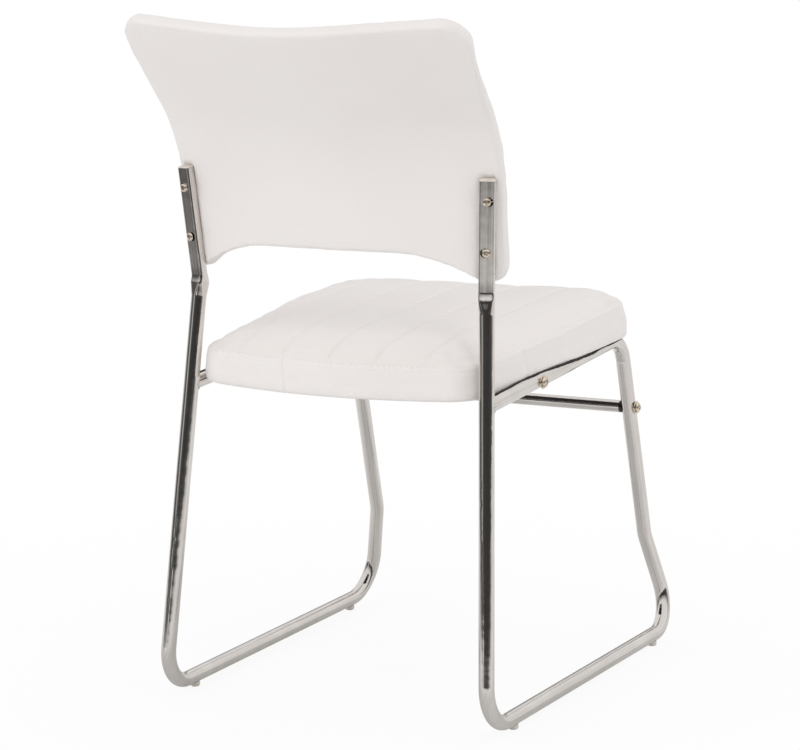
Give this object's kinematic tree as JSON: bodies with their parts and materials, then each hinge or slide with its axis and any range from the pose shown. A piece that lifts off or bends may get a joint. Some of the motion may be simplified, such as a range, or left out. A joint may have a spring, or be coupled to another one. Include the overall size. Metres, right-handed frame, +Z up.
{
  "type": "visitor chair",
  "caption": "Armless visitor chair with bent chrome tube side frames on floor runners, a channelled white padded seat and a tall flared white padded back.",
  "frame": {"origin": "on the floor, under the middle of the chair's outline seen from above", "axes": "+Z up; the sitter faces -Y; +X is the sitter's left"},
  "size_m": [0.4776, 0.6602, 0.8638],
  "materials": {
    "chrome": "polished chrome plate on steel tube",
    "nickel": "nickel plated, slightly warm",
    "zinc": "zinc plated",
    "cover": "white grained leatherette, satin",
    "dust_cover": "black non-woven cloth",
    "plywood": "raw plywood",
    "ivory_plastic": "moulded, satin"
  },
  "bodies": {
    "root": {"side_frame_right": "chrome", "upright_plug_right": "ivory_plastic", "floor_glide_rear_right": "ivory_plastic", "bar_insert_rear_right": "zinc", "bar_washer_rear_right": "nickel", "bar_bolt_rear_right": "nickel", "seat_screw_rear_right": "zinc", "seat_tee_nut_rear_right": "zinc", "floor_glide_front_right": "ivory_plastic", "bar_insert_front_right": "zinc", "bar_washer_front_right": "nickel", "bar_bolt_front_right": "nickel", "seat_screw_front_right": "zinc", "seat_tee_nut_front_right": "zinc", "back_screw_upper_right": "nickel", "back_tee_nut_upper_right": "zinc", "back_screw_lower_right": "nickel", "back_tee_nut_lower_right": "zinc", "side_frame_left": "chrome", "upright_plug_left": "ivory_plastic", "floor_glide_rear_left": "ivory_plastic", "bar_insert_rear_left": "zinc", "bar_washer_rear_left": "nickel", "bar_bolt_rear_left": "nickel", "seat_screw_rear_left": "zinc", "seat_tee_nut_rear_left": "zinc", "floor_glide_front_left": "ivory_plastic", "bar_insert_front_left": "zinc", "bar_washer_front_left": "nickel", "bar_bolt_front_left": "nickel", "seat_screw_front_left": "zinc", "seat_tee_nut_front_left": "zinc", "back_screw_upper_left": "nickel", "back_tee_nut_upper_left": "zinc", "back_screw_lower_left": "nickel", "back_tee_nut_lower_left": "zinc", "front_crossbar": "chrome", "rear_crossbar": "chrome", "seat_cushion": "cover", "back_cushion": "cover", "seat_board": "plywood", "back_board": "plywood", "seat_dust_cover": "dust_cover"}
  },
  "joints": []
}
